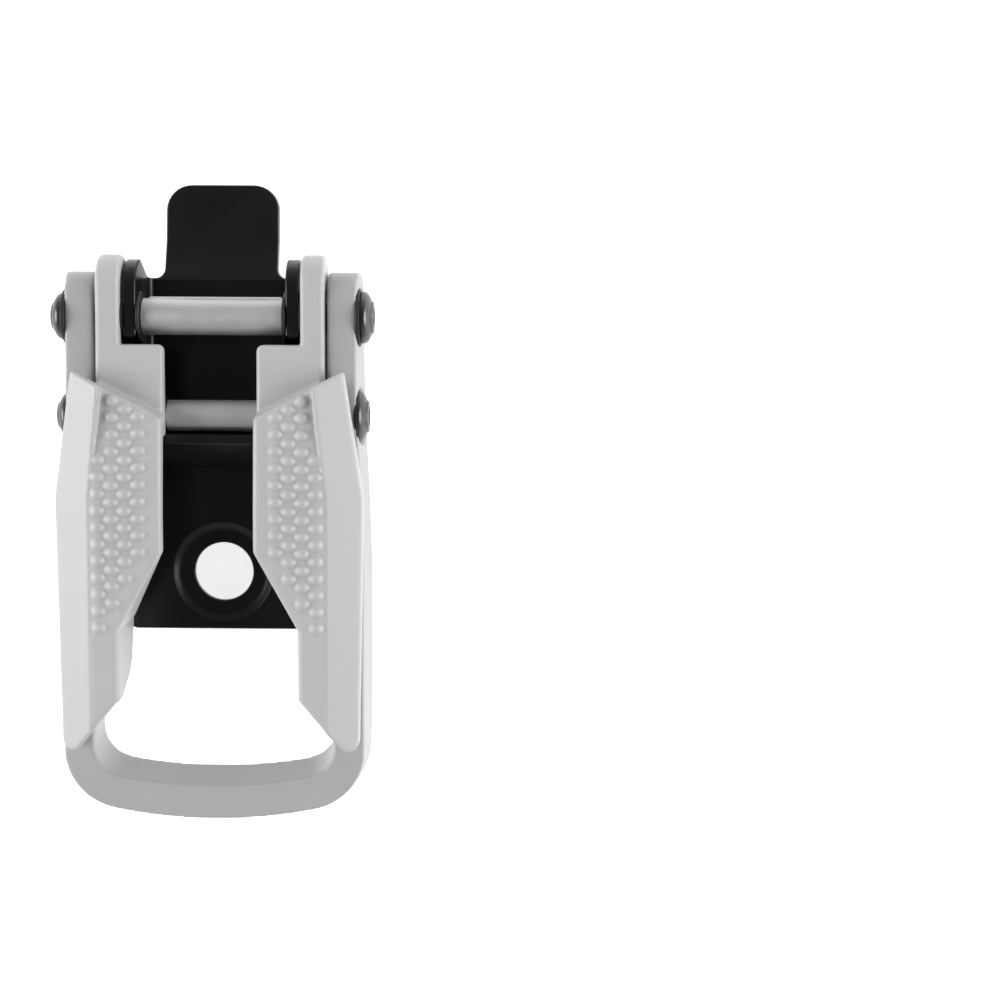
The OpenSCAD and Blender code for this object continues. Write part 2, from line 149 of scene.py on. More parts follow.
SHEET = 2
BEND_R = 1
AXLE_TO_FLOOR_END = 6
AXLE_TO_WALL_NOSE = 8.8
FLOOR_CORNER_R = 2
FLAT_SIDE = 1.6
FLAT_CORNER_R = 1.2
FLAT_END = 18
WALL_NOSE_R = 4.6
LIP_HALF = 8.9
LIP_CORNER_R = 4
LIP_ROOT_IN = 1.1
LIP_FILLET_R = 1.5
LIP_KNEE_Y = 5.9
LIP_KNEE_DROP = 2.1
LIP_TIP_DROP = 3
HOLE_R = 4.65
DISH_R = 8.2
DISH_FLAT_R = 6.5
DISH_DEPTH = 0.6
RIM_R = 0.3
BUSH_R = 3
RUNNING = 0.03
SLOT_R = 2.1
STEEL_EDGE = 0.28


def middle(node):
    """Centre of a CAD node's box in millimetres."""
    low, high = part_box(node)
    return (low + high) / (2 * MM)


def arc(centre, radius, start, end, steps):
    """Points of an arc in a plane, between two angles in degrees."""
    angles = [math.radians(start + (end - start) * i / steps) for i in range(steps + 1)]
    return [(centre[0] + radius * math.cos(a), centre[1] + radius * math.sin(a)) for a in angles]


def rounded(corners, steps=8):
    """Outline through corners (a, b, radius), each turned with its own radius."""
    outline = []
    for i, (a, b, radius) in enumerate(corners):
        here = Vector((a, b))
        before = (Vector(corners[i - 1][:2]) - here).normalized()
        after = (Vector(corners[(i + 1) % len(corners)][:2]) - here).normalized()
        if not radius:
            outline.append(here)
            continue
        half = before.angle(after) / 2
        centre = here + (before + after).normalized() * radius / math.sin(half)
        start = here + before * radius / math.tan(half) - centre
        end = here + after * radius / math.tan(half) - centre
        turn = math.pi - 2 * half
        for k in range(steps + 1):
            t = turn * k / steps
            outline.append(centre + (start * math.sin(turn - t) + end * math.sin(t)) / math.sin(turn))
    return outline


def prism(outline, low, high, axis):
    """Closed solid whose outline lies across an axis, from low to high along it."""
    bm = bmesh.new()
    put = {"X": lambda a, b: (low, a, b), "Y": lambda a, b: (a, low, b), "Z": lambda a, b: (a, b, low)}[axis]
    face = bm.faces.new([bm.verts.new(put(a, b)) for a, b in outline])
    pulled = bmesh.ops.extrude_face_region(bm, geom=[face])["geom"]
    step = Vector([high - low if name == axis else 0 for name in "XYZ"])
    bmesh.ops.translate(bm, vec=step, verts=[v for v in pulled if isinstance(v, bmesh.types.BMVert)])
    bmesh.ops.recalc_face_normals(bm, faces=bm.faces)
    return bm


def turned(profile, place, steps=64):
    """Part turned on a lathe about an axis along X, from a closed profile of (x, radius)."""
    bm = bmesh.new()
    verts = [bm.verts.new((x, place[0], place[1] + radius)) for x, radius in profile]
    edges = [bm.edges.new((verts[i - 1], verts[i])) for i in range(len(verts))]
    bmesh.ops.spin(bm, geom=verts + edges, cent=(0, place[0], place[1]), axis=(1, 0, 0),
                   angle=2 * math.pi, steps=steps, use_merge=True)
    bmesh.ops.remove_doubles(bm, verts=bm.verts, dist=0.0005)
    bmesh.ops.recalc_face_normals(bm, faces=bm.faces)
    return bm


def rod(x0, x1, radius, place, steps=64):
    """Plain round solid along X."""
    return turned([(x0, 0), (x0, radius), (x1, radius), (x1, 0)], place, steps)


def joined(*parts):
    """Several closed shells in one mesh."""
    whole = bmesh.new()
    for part in parts:
        mesh = bpy.data.meshes.new("stock")
        part.to_mesh(mesh)
        part.free()
        whole.from_mesh(mesh)
        bpy.data.meshes.remove(mesh)
    return whole


def worked(bm, *steps):
    """A solid after modifiers, each given as (kind, settings) or as (kind, settings, tool solid)."""
    stock = []
    for solid in [bm] + [step[2] for step in steps if len(step) > 2]:
        mesh = bpy.data.meshes.new("stock")
        solid.to_mesh(mesh)
        solid.free()
        stock.append(bpy.data.objects.new("stock", mesh))
        scene.collection.objects.link(stock[-1])
    tools = stock[1:]
    for step in steps:
        modifier = stock[0].modifiers.new(step[0], step[0])
        for key, value in step[1].items():
            setattr(modifier, key, value)
        if len(step) > 2:
            modifier.object = tools.pop(0)
    result = bmesh.new()
    shaped = stock[0].evaluated_get(bpy.context.evaluated_depsgraph_get())
    result.from_mesh(shaped.to_mesh())
    shaped.to_mesh_clear()
    for item in stock:
        mesh = item.data
        bpy.data.objects.remove(item)
        bpy.data.meshes.remove(mesh)
    return result


CUT = {"operation": "DIFFERENCE", "solver": "EXACT"}
MEET = {"operation": "INTERSECT", "solver": "EXACT"}
FUSE = {"operation": "UNION", "solver": "EXACT"}


def edged(bm, width, limit=30, segments=3):
    """A solid with its sharp edges rounded."""
    bmesh.ops.dissolve_limit(bm, angle_limit=math.radians(0.5), verts=bm.verts, edges=bm.edges)
    return worked(bm, ("BEVEL", {"width": width, "segments": segments, "profile": 0.5,
                                 "limit_method": "ANGLE", "angle_limit": math.radians(limit),
                                 "use_clamp_overlap": False}))


def finished(bm, name, body, slot, material, *nodes, flats=False):
    """Makes a solid a piece of the buckle, in metres, which stands for the CAD nodes given."""
    bmesh.ops.remove_doubles(bm, verts=bm.verts, dist=0.0005)
    bmesh.ops.recalc_face_normals(bm, faces=bm.faces)
    bmesh.ops.scale(bm, vec=(MM, MM, MM), verts=bm.verts)
    mesh = bpy.data.meshes.new(name)
    bm.to_mesh(mesh)
    bm.free()
    mesh.materials.append(material)
    mesh.polygons.foreach_set("use_smooth", [True] * len(mesh.polygons))
    piece = bpy.data.objects.new(name, mesh)
    scene.collection.objects.link(piece)
    if flats:
        level = piece.modifiers.new("level", "WEIGHTED_NORMAL")
        level.keep_sharp = True
        mesh.set_sharp_from_angle(angle=math.radians(50))
    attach(piece, body)
    if nodes:
        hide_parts(*nodes)
    return piece


# Gloss black powder coat on steel: deep black, wet looking, with a faint orange peel.
black_coat, tree, place = new_material("gloss_black_powder_coat")
cloud = add(tree, "ShaderNodeTexNoise", {"Scale": 1 / (7 * MM), "Detail": 3}, {"Vector": place})
tone = add(tree, "ShaderNodeMix", {"data_type": "RGBA", 6: linear("#070708"), 7: linear("#0e0e0f")},
           {0: cloud.outputs["Fac"]})
gloss = add(tree, "ShaderNodeMapRange", {"To Min": 0.24, "To Max": 0.36}, {"Value": cloud.outputs["Fac"]})
peel = add(tree, "ShaderNodeTexNoise", {"Scale": 1 / (0.9 * MM), "Detail": 2}, {"Vector": place})
bump = add(tree, "ShaderNodeBump", {"Strength": 0.25, "Distance": 0.02 * MM}, {"Height": peel.outputs["Fac"]})
coat = add(tree, "ShaderNodeBsdfPrincipled", {"IOR": 1.42, "Coat Weight": 0.1, "Coat Roughness": 0.2},
           {"Base Color": tone.outputs[2], "Roughness": gloss.outputs["Result"],
            "Normal": bump.outputs["Normal"]})
add(tree, "ShaderNodeOutputMaterial", links={"Surface": coat.outputs["BSDF"]})

channel_low, channel_high = [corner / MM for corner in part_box("base_channel")]
axle = middle("shim_washer_right")
axle = (axle.y, axle.z)
pawl_pin = middle("pawl_sleeve")
pawl_pin = (pawl_pin.y, pawl_pin.z)
gap = axle[0] - pawl_pin[0]
half_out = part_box("axle_bush_right")[1].x / MM
half_in = half_out - SHEET
floor_back = channel_low.y
floor_front = axle[0] + AXLE_TO_FLOOR_END
lip_front = channel_high.y
wall_top = channel_high.z
wall_nose = axle[0] + AXLE_TO_WALL_NOSE

section = rounded([(-half_out, 0, SHEET + BEND_R), (half_out, 0, SHEET + BEND_R), (half_out, 30, 0),
                   (half_in, 30, 0), (half_in, SHEET, BEND_R), (-half_in, SHEET, BEND_R),
                   (-half_in, 30, 0), (-half_out, 30, 0)])
wall = rounded([(floor_back - 1, -1, 0), (floor_back - 1, SHEET, 0), (pawl_pin[0] - 17, SHEET, 3),
                (pawl_pin[0] - 10, axle[1] - 1, 3), (pawl_pin[0] - 5, axle[1] + 2.6, 1.2),
                (pawl_pin[0] + 2.8, axle[1] + 2.6, 0.6), (pawl_pin[0] + 4, axle[1] + 1.6, 0.5),
                (axle[0] - 4, axle[1] + 1.6, 0.5), (axle[0] - 2.9, wall_top, 0.6),
                (wall_nose, wall_top, WALL_NOSE_R), (wall_nose, wall_top - WALL_NOSE_R - 0.1, 0),
                (floor_front, SHEET, 0), (floor_front, -1, 0)])
plan = rounded([(-half_out, floor_back, FLOOR_CORNER_R), (half_out, floor_back, FLOOR_CORNER_R),
                (half_out, wall_nose + 1, 0), (-half_out, wall_nose + 1, 0)])
lip_side = [(floor_front - 4, 0), (floor_front, 0), (floor_front + LIP_KNEE_Y, -LIP_KNEE_DROP),
            (lip_front, -LIP_TIP_DROP), (lip_front, SHEET - LIP_TIP_DROP),
            (floor_front + LIP_KNEE_Y, SHEET - LIP_KNEE_DROP), (floor_front, SHEET), (floor_front - 4, SHEET)]
lip_plan = rounded([(-half_in + LIP_ROOT_IN, floor_front - 3.9, 0), (-half_in + LIP_ROOT_IN, floor_front, 0),
                    (-LIP_HALF, floor_front, LIP_FILLET_R), (-LIP_HALF, lip_front, LIP_CORNER_R),
                    (LIP_HALF, lip_front, LIP_CORNER_R), (LIP_HALF, floor_front, LIP_FILLET_R),
                    (half_in - LIP_ROOT_IN, floor_front, 0), (half_in - LIP_ROOT_IN, floor_front - 3.9, 0)])
slot = (arc(axle, gap + SLOT_R, 110, 180, 24) + arc(pawl_pin, SLOT_R, 180, 360, 16)
        + arc(axle, gap - SLOT_R, 180, 110, 24))
seat_z = SHEET - DISH_DEPTH
seat_side = [(-1, 0), (-1, HOLE_R + RIM_R)]
seat_side += [(z, r) for r, z in arc((HOLE_R + RIM_R, RIM_R), RIM_R, 270, 180, 4)]
seat_side += [(z, r) for r, z in arc((HOLE_R + RIM_R, seat_z - RIM_R), RIM_R, 180, 90, 4)]
seat_side += [(seat_z + (DISH_DEPTH + 0.12) * (1 - math.cos(math.pi * t / 10)) / 2,
               DISH_FLAT_R + (DISH_R - DISH_FLAT_R) * t / 8) for t in range(9)]
seat_side += [(SHEET + 1, DISH_R + 1), (SHEET + 1, 0)]

flat_half = half_out + FLAT_SIDE
flat_end = pawl_pin[0] - FLAT_END
flat_plan = rounded([(-flat_half, floor_back, FLAT_CORNER_R), (flat_half, floor_back, FLAT_CORNER_R),
                     (flat_half, flat_end, 0.4), (-flat_half, flat_end, 0.4)])
lip = worked(prism(lip_side, -half_out, half_out, "X"), ("BOOLEAN", MEET, prism(lip_plan, -9, 9, "Z")))
seat = turned(seat_side, (0, 0), 96)
bmesh.ops.rotate(seat, verts=seat.verts, cent=(0, 0, 0), matrix=Matrix.Rotation(-math.pi / 2, 3, "Y"))
channel = worked(prism(section, floor_back, wall_nose + 0.5, "Y"),
                 ("BOOLEAN", MEET, prism(wall, -half_out - 1, half_out + 1, "X")),
                 ("BOOLEAN", MEET, prism(plan, -9, 29, "Z")),
                 ("BOOLEAN", FUSE, prism(flat_plan, 0, SHEET, "Z")),
                 ("BOOLEAN", FUSE, lip),
                 ("BOOLEAN", CUT, seat),
                 ("BOOLEAN", CUT, rod(-20, 20, BUSH_R + RUNNING, axle)),
                 ("BOOLEAN", CUT, prism(slot, -20, -half_in + 1, "X")),
                 ("BOOLEAN", CUT, prism(slot, half_in - 1, 20, "X")))
finished(edged(channel, STEEL_EDGE), "channel_plate", "channel", "black_steel", black_coat,
         "base_channel", flats=True)


# ---- Bushes and washers ----
# Moulded black nylon. The flanged bushes line the walls and the loop's arms, and a thin
# washer keeps each wing's ear off the wall.

NYLON_EDGE = 0.1
WASHER_EDGE = 0.05
AXLE_R = 2
LOOP_FLANGE_R = 4.3
LOOP_FLANGE_T = 0.6
WALL_FLANGE_T = 0.5
PLAY = 0.05
WASHER_OUT = 0.3
WALL_FLANGE_R = 3.8

# Moulded black nylon: dark, satin, with the fine texture of an eroded mould.
black_nylon, tree, place = new_material("moulded_black_nylon")
grain = add(tree, "ShaderNodeTexNoise", {"Scale": 1 / (0.25 * MM), "Detail": 3}, {"Vector": place})
tone = add(tree, "ShaderNodeMix", {"data_type": "RGBA", 6: linear("#0d0d0e"), 7: linear("#1b1b1d")},
           {0: grain.outputs["Fac"]})
gloss = add(tree, "ShaderNodeMapRange", {"To Min": 0.42, "To Max": 0.58}, {"Value": grain.outputs["Fac"]})
bump = add(tree, "ShaderNodeBump", {"Strength": 0.4, "Distance": 0.02 * MM}, {"Height": grain.outputs["Fac"]})
nylon = add(tree, "ShaderNodeBsdfPrincipled", {"IOR": 1.53},
            {"Base Color": tone.outputs[2], "Roughness": gloss.outputs["Result"],
             "Normal": bump.outputs["Normal"]})
add(tree, "ShaderNodeOutputMaterial", links={"Surface": nylon.outputs["BSDF"]})

loop_bush_low, loop_bush_high = [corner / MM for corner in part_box("loop_bush_right")]
arm_in = loop_bush_low.x
flange_out = loop_bush_high.x
arm_out = flange_out - LOOP_FLANGE_T
for side, word in ((1, "right"), (-1, "left")):
    flange = [(arm_in, BUSH_R), (arm_out, BUSH_R), (arm_out, LOOP_FLANGE_R), (flange_out, LOOP_FLANGE_R),
              (flange_out, AXLE_R + RUNNING), (arm_in, AXLE_R + RUNNING)]
    bush = turned([(side * x, radius) for x, radius in flange], axle)
    finished(edged(bush, NYLON_EDGE), "loop_flanged_bush_" + word, "release", "black_nylon", black_nylon,
             "loop_bush_" + word, flats=True)

    flange = [(half_in - WALL_FLANGE_T, AXLE_R + RUNNING), (half_in - WALL_FLANGE_T, WALL_FLANGE_R),
              (half_in - PLAY, WALL_FLANGE_R), (half_in - PLAY, BUSH_R), (half_out, BUSH_R),
              (half_out, AXLE_R + RUNNING)]
    bush = turned([(side * x, radius) for x, radius in flange], axle)
    finished(edged(bush, NYLON_EDGE), "wall_flanged_bush_" + word, "wings", "black_nylon", black_nylon,
             "axle_bush_" + word, flats=True)

    washer_in = half_out + PLAY
    washer_out = half_out + WASHER_OUT
    ring = [(washer_in, AXLE_R + RUNNING), (washer_in, WALL_FLANGE_R), (washer_out, WALL_FLANGE_R),
            (washer_out, AXLE_R + RUNNING)]
    washer = turned([(side * x, radius) for x, radius in ring], axle)
    finished(edged(washer, WASHER_EDGE), "ear_washer_" + word, "channel", "black_nylon", black_nylon,
             "shim_washer_" + word, flats=True)


# ---- Release loop ----
# Aluminium die casting: two arms joined by a bowed bar that a finger pulls up. The sides have
# draft, each head has a spot face under it, and all edges are softly rounded. Painted light grey.

LOOP_CORNER_R = 9.4
LOOP_INNER_R = 5
LOOP_BOW_R = 70
BAR_W = 5.2
BAR_SLOPE = 2.9
BAR_LIFT = 1.8
ARM_NOSE_R = 4.2
DRAFT = 0.9
SPOT_R = 4.5
PIN_R = 1.8
SPLAY = 1.1
SPLAY_FROM = 34
SPLAY_TO = 0
LOOP_VOXEL = 0.28
LOOP_SOFTEN = 12


def grey_paint(name, light, dark):
    """Satin grey paint over a die casting: even, with a fine orange peel and faint clouding."""
    material, tree, place = new_material(name)
    cloud = add(tree, "ShaderNodeTexNoise", {"Scale": 1 / (9 * MM), "Detail": 3}, {"Vector": place})
    tone = add(tree, "ShaderNodeMix", {"data_type": "RGBA", 6: linear(dark), 7: linear(light)},
               {0: cloud.outputs["Fac"]})
    gloss = add(tree, "ShaderNodeMapRange", {"To Min": 0.36, "To Max": 0.5}, {"Value": cloud.outputs["Fac"]})
    peel = add(tree, "ShaderNodeTexNoise", {"Scale": 1 / (0.6 * MM), "Detail": 2}, {"Vector": place})
    bump = add(tree, "ShaderNodeBump", {"Strength": 0.3, "Distance": 0.02 * MM},
               {"Height": peel.outputs["Fac"]})
    paint = add(tree, "ShaderNodeBsdfPrincipled", {"IOR": 1.5},
                {"Base Color": tone.outputs[2], "Roughness": gloss.outputs["Result"],
                 "Normal": bump.outputs["Normal"]})
    add(tree, "ShaderNodeOutputMaterial", links={"Surface": paint.outputs["BSDF"]})
    return material


# Satin light grey paint, a shade darker than on the wings.
loop_paint = grey_paint("satin_grey_paint_on_loop", "#a0a09f", "#9a9a99")


def bowed(half, back, corner_r, front):
    """Plan with a bowed back edge that runs smoothly into its round corners."""
    lift = LOOP_BOW_R - math.sqrt((LOOP_BOW_R - corner_r) ** 2 - (half - corner_r) ** 2)
    turn = math.degrees(math.asin((half - corner_r) / (LOOP_BOW_R - corner_r)))
    bow = arc((0, back + LOOP_BOW_R), LOOP_BOW_R, -90 - turn, turn - 90, 24)
    right = arc((half - corner_r, back + lift), corner_r, turn - 90, 0, 16)[1:]
    left = arc((corner_r - half, back + lift), corner_r, -180, -90 - turn, 16)[:-1]
    return left + bow + right + [(half, front), (-half, front)]


def cast(bm, voxel, soften):
    """A casting: overlapping solids run together into one skin with soft edges."""
    return worked(bm, ("REMESH", {"mode": "VOXEL", "voxel_size": voxel}),
                  ("SMOOTH", {"factor": 0.5, "iterations": soften}))


loop_low, loop_high = [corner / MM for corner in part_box("release_loop")]
bar_back = loop_low.y
arm_low = loop_low.z
arm_top = loop_high.z
arm_nose = loop_high.y
side_view = rounded([(bar_back - 1, arm_low + BAR_LIFT, 0), (bar_back + BAR_W + 3, arm_low + BAR_LIFT, 2),
                     (bar_back + BAR_W + 9, arm_low, 2), (arm_nose, arm_low, ARM_NOSE_R),
                     (arm_nose, arm_top, ARM_NOSE_R), (bar_back - 1, arm_top, 0)])
loop = prism(bowed(arm_out, bar_back, LOOP_CORNER_R, 60), arm_low - 1, arm_top + 1, "Z")
for vert in loop.verts:
    if vert.co.z < arm_low:
        vert.co.x += math.copysign(DRAFT, vert.co.x) * min(1, abs(vert.co.x) / arm_out)
window = prism(bowed(arm_in, bar_back + BAR_W, LOOP_INNER_R, 60), arm_low - 1, arm_top, "Z")
for vert in window.verts:
    if vert.co.z < arm_low and vert.co.y < 0:
        vert.co.y += BAR_SLOPE
lid = prism(bowed(arm_in, bar_back + BAR_W, LOOP_INNER_R, 60), arm_top - 0.01, arm_top + 2, "Z")
loop = worked(loop, ("BOOLEAN", MEET, prism(side_view, -40, 40, "X")), ("BOOLEAN", CUT, window),
              ("BOOLEAN", CUT, lid))
loop = cast(loop, LOOP_VOXEL, LOOP_SOFTEN)
for vert in loop.verts:
    t = min(1, max(0, (SPLAY_FROM - vert.co.y) / (SPLAY_FROM - SPLAY_TO)))
    vert.co.x += SPLAY * t * t * (3 - 2 * t) * vert.co.x / arm_out
for bore_r, place_yz in ((BUSH_R, axle), (PIN_R, pawl_pin)):
    cutter = [(-40, 0), (-40, SPOT_R), (-arm_out, SPOT_R), (-arm_out, bore_r), (arm_out, bore_r),
              (arm_out, SPOT_R), (40, SPOT_R), (40, 0)]
    loop = worked(loop, ("BOOLEAN", CUT, turned(cutter, place_yz)))
finished(loop, "loop_casting", "release", "cast_grey", loop_paint, "release_loop")


# ---- Wings ----
# Two mirrored aluminium die castings. Each has an ear on the drum axle, a shoulder, a raised pad
# with four rows of grip dots, a web below and an outer blade that leans down over the loop's arm.

wing_box = [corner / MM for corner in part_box("right_wing")]
EAR_T = 3.7
INNER_X = 7.1
EAR_R = 4.5
WEB_T = 2.5
PLATE_T = 2.4
SHOULDER_TURN = math.radians(26)
CLIFF = 0.7
CREASE_X = 17.95
BLADE_T = 2.2
BLADE_TILT = math.radians(23)
SKIRT_T = 2
DOT_R = 0.95
DOT_HEIGHT = 0.62
DOT_PITCH = 2.56
DOT_COLUMNS = [(10.4, 25.6, 9), (12.4, 26.7, 11), (14.4, 28.0, 13), (16.5, 19.1, 11)]
WING_VOXEL = 0.2

# Satin light grey paint.
wing_paint = grey_paint("satin_grey_paint_on_wings", "#aeaead", "#a8a8a7")

ear_in = half_out + 0.35
ear_out = ear_in + EAR_T
shoulder_y = axle[0] - 4.2
shoulder_z = axle[1] + 4.5
pad_z = axle[1] + 7.6
crown_z = axle[1] + 8.6
crown_y = axle[0] - 28
ramp_y = pawl_pin[0] + 0.8
wing_back = wing_box[0].y
inner_x = INNER_X
notch_y = wing_back + 31.5
web_y = notch_y - 12
web_end_y = web_y - 10.8
blade_out = wing_box[1].x
low_z = axle[1] - EAR_R


def pad_top(x, y):
    """Height of the pad's surface, whose slope is turned with the shoulder's edge."""
    along = (y - ramp_y) * math.cos(SHOULDER_TURN) - (x - inner_x) * math.sin(SHOULDER_TURN)
    level = crown_y - ramp_y
    return crown_z - (crown_z - pad_z) * max(0, along - level) / (-CLIFF - level)


def slant(x):
    """Slanting rear edge of a wing."""
    run = (web_end_y - wing_back + 2.2) / (blade_out - 0.4 - ear_in)
    return web_end_y - (x - ear_in) * run


ear_nose = axle[0] + 5 + EAR_R
web_side = rounded([(ear_nose, low_z, EAR_R - 0.01), (ear_nose, low_z + 2 * EAR_R, EAR_R - 0.01),
                    (shoulder_y, shoulder_z, 0), (ramp_y + 2.8, shoulder_z, 0),
                    (ramp_y + 1.8, pad_z - 0.8, 0),
                    (crown_y, crown_z - 0.8, 0), (web_end_y - 0.6, crown_z - 0.8, 0),
                    (web_end_y - 0.6, crown_z - PLATE_T - 1, 2), (web_end_y + 3, low_z + 2, 6),
                    (web_end_y + 10, low_z, 4)])
track = (arc(axle, gap + SLOT_R, 180, 290, 36) + arc(axle, gap - SLOT_R, 290, 180, 36)
         + arc(pawl_pin, SLOT_R, 0, 180, 16)[1:-1])
ear_plan = [(0, pawl_pin[0] - 5), (40, pawl_pin[0] - 5), (40, 60), (0, 60)]
web_plan = [(0, -40), (40, -40), (40, pawl_pin[0] - 3), (0, pawl_pin[0] - 3)]
ear = edged(worked(prism(web_side, ear_in, ear_out, "X"), ("BOOLEAN", MEET, prism(ear_plan, 0, 30, "Z")),
                   ("BOOLEAN", CUT, prism(track, 0, 30, "X")),
                   ("BOOLEAN", CUT, rod(0, 30, AXLE_R, axle))), 0.7, limit=40)
web = edged(worked(prism(web_side, ear_in, ear_in + WEB_T, "X"),
                   ("BOOLEAN", MEET, prism(web_plan, 0, 30, "Z")),
                   ("BOOLEAN", CUT, prism(track, 0, 30, "X"))), 0.5, limit=40)

shoulder_side = [(shoulder_y, shoulder_z), (ramp_y - 4, shoulder_z + 0.6), (ramp_y - 4, shoulder_z - PLATE_T),
                 (shoulder_y, shoulder_z - PLATE_T)]
shoulder_plan = rounded([(inner_x, shoulder_y, 1), (ear_out, shoulder_y, 0), (ear_out, 10, 0),
                         (inner_x, 10, 0)])
shoulder = edged(worked(prism(shoulder_side, 0, 30, "X"),
                        ("BOOLEAN", MEET, prism(shoulder_plan, 0, 30, "Z"))), 0.6, limit=40)

pad_side = [(0, shoulder_z - 0.4), (-CLIFF, pad_z), (crown_y - ramp_y, crown_z), (-80, crown_z),
            (-80, crown_z - PLATE_T), (crown_y - ramp_y, crown_z - PLATE_T), (-CLIFF - 2, pad_z - PLATE_T),
            (-1.5, shoulder_z - PLATE_T + 0.6)]
pad = prism(pad_side, -60, 60, "X")
bmesh.ops.rotate(pad, verts=pad.verts, cent=(0, 0, 0), matrix=Matrix.Rotation(SHOULDER_TURN, 3, "Z"))
bmesh.ops.translate(pad, verts=pad.verts, vec=(inner_x, ramp_y, 0))
pad_plan = rounded([(inner_x, 36, 0), (ear_out, 36, 0), (ear_out, pawl_pin[0] - 1, 0),
                    (CREASE_X + 0.3, crown_y, 0), (CREASE_X + 0.3, slant(CREASE_X + 0.3), 0),
                    (ear_in - 0.1, slant(ear_in - 0.1), 1), (ear_in - 0.1, web_y, 1),
                    (inner_x - 0.2, notch_y, 1.2),
                    (inner_x - 0.2, pawl_pin[0] + 0.9, 0), (inner_x, pawl_pin[0] + 0.9, 0)])
pad = edged(worked(pad, ("BOOLEAN", MEET, prism(pad_plan, 0, 30, "Z"))), 0.7, limit=50)

slab = bmesh.new()
bmesh.ops.create_cube(slab, size=1)
bmesh.ops.scale(slab, verts=slab.verts, vec=(20, 160, BLADE_T))
bmesh.ops.translate(slab, verts=slab.verts, vec=(0, 0, -BLADE_T / 2))
bmesh.ops.rotate(slab, verts=slab.verts, cent=(0, 0, 0), matrix=Matrix.Rotation(BLADE_TILT, 3, "Y"))
bmesh.ops.translate(slab, verts=slab.verts, vec=(CREASE_X, 0, crown_z))
blade_plan = rounded([(ear_out - 1.5, pawl_pin[0] + 4.8, 0), (blade_out - 2.6, pawl_pin[0] + 7.2, 0.4),
                      (blade_out - 1.7, pawl_pin[0] + 1, 4), (blade_out + 0.3, crown_y + 0.5, 12),
                      (blade_out - 0.1, web_y, 30), (blade_out - 0.3, web_end_y - 2, 5),
                      (blade_out - 0.4, wing_back - 2.2, 1.6), (CREASE_X - 0.1, slant(CREASE_X - 0.1), 0),
                      (CREASE_X - 0.1, crown_y + 0.5, 0)])
blade = edged(worked(slab, ("BOOLEAN", MEET, prism(blade_plan, 0, 30, "Z"))), 0.3, limit=50)

edge_x = inner_x - 0.2
skirt_plan = [(edge_x, notch_y), (ear_in, web_y), (ear_in + SKIRT_T, web_y), (ear_in + SKIRT_T, web_y + 1),
              (edge_x + SKIRT_T, notch_y)]
skirt_side = [(web_y - 1, low_z + 1), (web_y + 1, low_z + 1), (notch_y + 0.5, crown_z - 1.2),
              (web_y - 1, crown_z - 1.2)]
skirt = worked(prism(skirt_side, 0, 30, "X"), ("BOOLEAN", MEET, prism(skirt_plan, 0, 30, "Z")))

dots = []
for column_x, first_y, count in DOT_COLUMNS:
    for row in range(count):
        y = first_y - row * DOT_PITCH
        dot = bmesh.new()
        bmesh.ops.create_icosphere(dot, subdivisions=3, radius=1)
        bmesh.ops.scale(dot, verts=dot.verts, vec=(DOT_R, DOT_R, DOT_HEIGHT))
        bmesh.ops.translate(dot, verts=dot.verts, vec=(column_x, y, pad_top(column_x, y)))
        dots.append(dot)

wing = joined(ear, web, shoulder, pad, blade, skirt, *dots)
wing = worked(wing, ("REMESH", {"mode": "VOXEL", "voxel_size": WING_VOXEL}),
              ("SMOOTH", {"factor": 0.5, "iterations": 3}))
for side, word in ((1, "right"), (-1, "left")):
    casting = wing.copy()
    if side < 0:
        bmesh.ops.scale(casting, verts=casting.verts, vec=(-1, 1, 1))
    finished(casting, "wing_casting_" + word, "wings", "cast_grey", wing_paint, word + "_wing")
wing.free()


# ---- Axles, drum and pawl ----
# Steel axles with a formed head on the right and a cap riveted on the left, both dark nickel
# plated. The drum and the sleeve are turned steel in satin nickel.

HEAD_H = 1.8
HEAD_R = 4
CAP_R = 3.55
HEAD_EDGE = 0.08
SLEEVE_R = 2.4
DRUM_R = 2.8
TOOTH_TURNS = (33, 57)
TOOTH_HALF = 10.3


def plated(name, light, dark, rough, lines):
    """Nickel plate over turned steel, with fine lines round the axis."""
    material, tree, place = new_material(name)
    along = add(tree, "ShaderNodeMapping", {"Scale": (1 / (lines * MM), 60, 60)}, {"Vector": place})
    marks = add(tree, "ShaderNodeTexNoise", {"Scale": 1, "Detail": 4}, {"Vector": along.outputs["Vector"]})
    cloud = add(tree, "ShaderNodeTexNoise", {"Scale": 1 / (2.5 * MM), "Detail": 3}, {"Vector": place})
    tone = add(tree, "ShaderNodeMix", {"data_type": "RGBA", 6: linear(dark), 7: linear(light)},
               {0: cloud.outputs["Fac"]})
    gloss = add(tree, "ShaderNodeMapRange", {"To Min": rough - 0.07, "To Max": rough + 0.07},
                {"Value": cloud.outputs["Fac"]})
    bump = add(tree, "ShaderNodeBump", {"Strength": 0.3, "Distance": 0.01 * MM},
               {"Height": marks.outputs["Fac"]})
    plate = add(tree, "ShaderNodeBsdfPrincipled", {"Metallic": 1},
                {"Base Color": tone.outputs[2], "Roughness": gloss.outputs["Result"],
                 "Normal": bump.outputs["Normal"]})
    add(tree, "ShaderNodeOutputMaterial", links={"Surface": plate.outputs["BSDF"]})
    return material


# Satin nickel on the drum and the sleeve, dark nickel on the axles and their caps.
satin_nickel = plated("satin_nickel_on_turned_steel", "#c4c4c3", "#b8b8b7", 0.56, 0.12)
dark_nickel = plated("dark_nickel_on_formed_steel", "#646362", "#424140", 0.32, 0.2)


